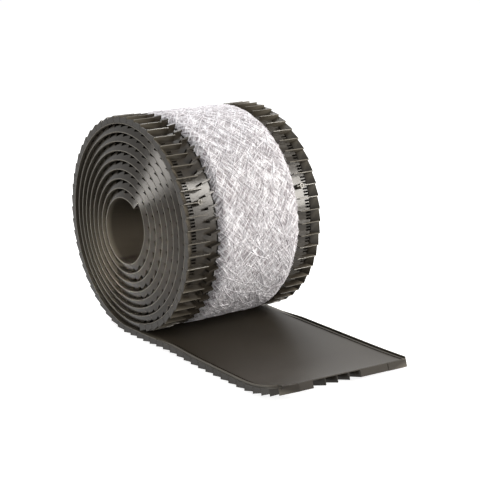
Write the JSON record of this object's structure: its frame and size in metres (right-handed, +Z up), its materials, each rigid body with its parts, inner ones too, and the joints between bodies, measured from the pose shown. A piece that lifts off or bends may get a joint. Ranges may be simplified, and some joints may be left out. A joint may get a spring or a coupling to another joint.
{
  "type": "rolled ridge vent",
  "caption": "Ribbed plastic ridge vent strip wound into a roll, underside outwards, with a fibre filter band and its free end laid flat.",
  "frame": {"origin": "middle of the part's box, on the floor it lies on", "axes": "+X towards the strip's free end, +Y along the roll's axis to the far end, +Z up"},
  "size_m": [0.6332, 0.286, 0.4017],
  "materials": {
    "moulded_polypropylene": "warm charcoal polypropylene, satin as moulded",
    "nonwoven_fibre": "white nonwoven fibre mat with loose crossing fibres"
  },
  "bodies": {
    "root": {"vent_strip": "moulded_polypropylene", "filter_mat": "nonwoven_fibre"}
  },
  "joints": []
}
